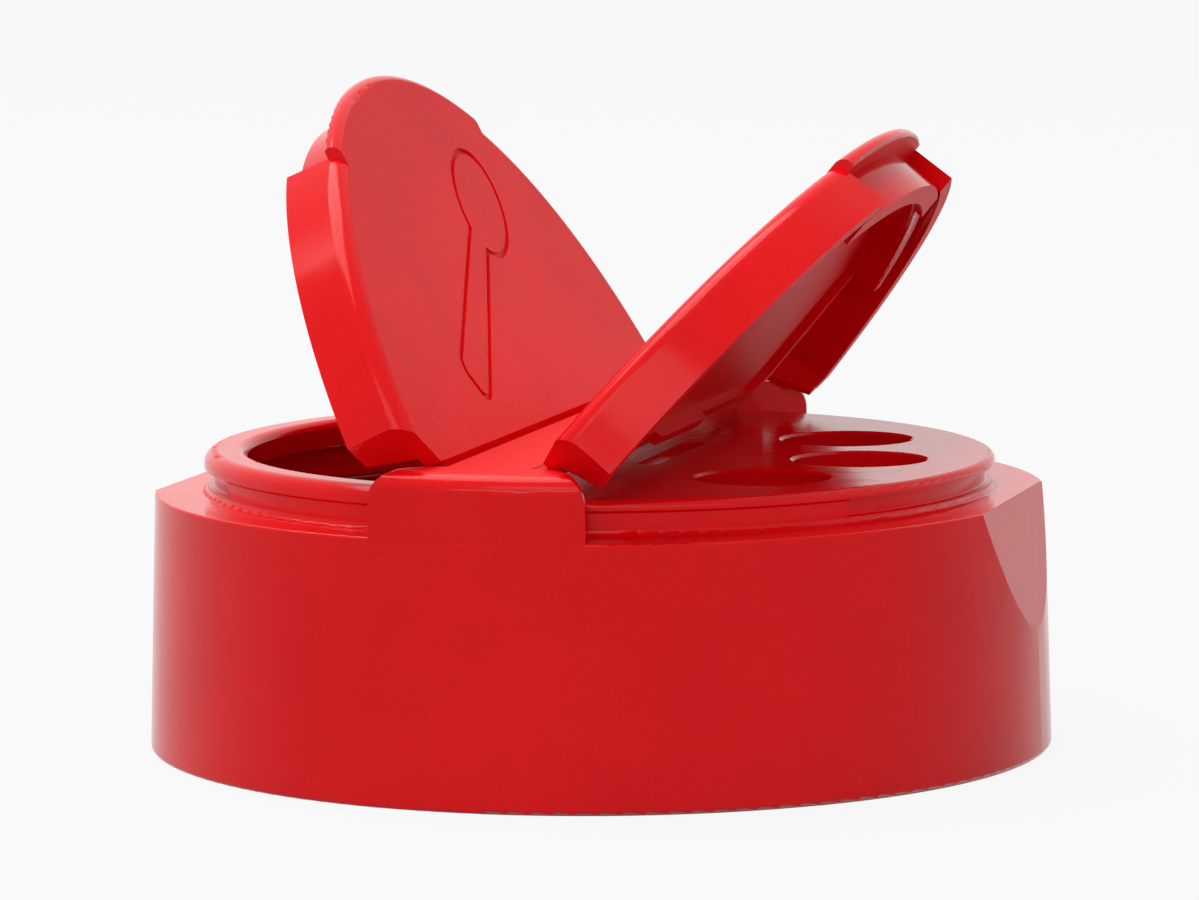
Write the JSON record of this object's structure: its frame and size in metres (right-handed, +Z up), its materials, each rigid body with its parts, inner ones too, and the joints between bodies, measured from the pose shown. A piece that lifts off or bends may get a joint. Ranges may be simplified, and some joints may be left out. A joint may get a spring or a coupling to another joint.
{
  "type": "flip top cap",
  "caption": "Screw-on dual-flap spice closure: one flap uncovers a spoon opening, the other uncovers round sift holes; both swing on living hinges beside a centre bar.",
  "frame": {"origin": "on the cap's axis, at the bottom of the skirt", "axes": "+Z up through the cap, Y along the centre bar, the spoon flap on -X and the sift flap on +X"},
  "size_m": [0.066, 0.066, 0.0485],
  "materials": {
    "red_polypropylene": "glossy moulded polypropylene, with fine matte texture on the flaps' and bar's top faces"
  },
  "bodies": {
    "cap_body": {"cap_body": "red_polypropylene"},
    "spoon_flap": {"spoon_flap": "red_polypropylene"},
    "sift_flap": {"sift_flap": "red_polypropylene"}
  },
  "joints": [
    {"name": "spoon_flap_hinge", "type": "hinge", "parent": "cap_body", "child": "spoon_flap", "pos_m": [-0.0038, 0, 0.02275], "axis": [0, 1, 0], "range_deg": [-62.5, 27.5]},
    {"name": "sift_flap_hinge", "type": "hinge", "parent": "cap_body", "child": "sift_flap", "pos_m": [0.0038, 0, 0.02275], "axis": [0, -1, 0], "range_deg": [-50, 40]}
  ]
}
